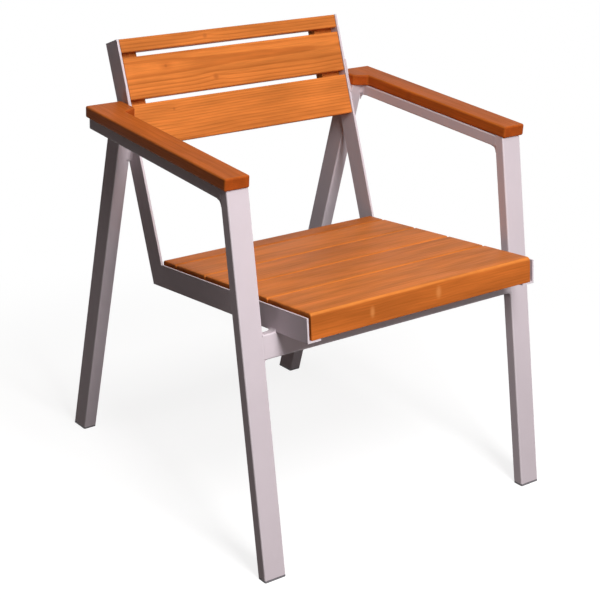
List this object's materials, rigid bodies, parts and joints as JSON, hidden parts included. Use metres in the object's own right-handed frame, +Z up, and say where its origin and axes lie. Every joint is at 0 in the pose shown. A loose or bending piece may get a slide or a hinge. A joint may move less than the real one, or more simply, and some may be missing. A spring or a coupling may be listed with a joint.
{
  "type": "garden armchair",
  "caption": "Garden armchair with a leaning welded steel tube frame, thick timber seat slats, a slatted timber back and timber armrest boards.",
  "frame": {"origin": "on the floor, under the middle of the chair's width and length", "axes": "+Z up, the sitter faces -Y, +X to the sitter's left"},
  "size_m": [0.61, 0.742, 0.7782],
  "materials": {
    "powder_coat": "satin grey powder coat",
    "timber": "stained and oiled pine",
    "plug_plastic": "matte dark grey",
    "screw_steel": "zinc plated"
  },
  "bodies": {
    "root": {"left_front_leg": "powder_coat", "right_front_leg": "powder_coat", "left_rear_leg": "powder_coat", "right_rear_leg": "powder_coat", "left_arm_rail": "powder_coat", "right_arm_rail": "powder_coat", "left_back_upright": "powder_coat", "right_back_upright": "powder_coat", "left_seat_angle": "powder_coat", "right_seat_angle": "powder_coat", "front_cross_tube": "powder_coat", "left_armrest_board": "timber", "right_armrest_board": "timber", "front_seat_slat": "timber", "second_seat_slat": "timber", "third_seat_slat": "timber", "fourth_seat_slat": "timber", "rear_seat_slat": "timber", "top_back_slat": "timber", "middle_back_slat": "timber", "bottom_back_slat": "timber", "left_back_batten": "timber", "right_back_batten": "timber", "left_front_leg_foot": "plug_plastic", "right_front_leg_foot": "plug_plastic", "left_rear_leg_foot": "plug_plastic", "right_rear_leg_foot": "plug_plastic", "left_arm_rail_cap": "plug_plastic", "right_arm_rail_cap": "plug_plastic", "armrest_screws": "screw_steel", "seat_slat_screws": "screw_steel", "back_slat_screws": "screw_steel", "batten_screws": "screw_steel"}
  },
  "joints": []
}
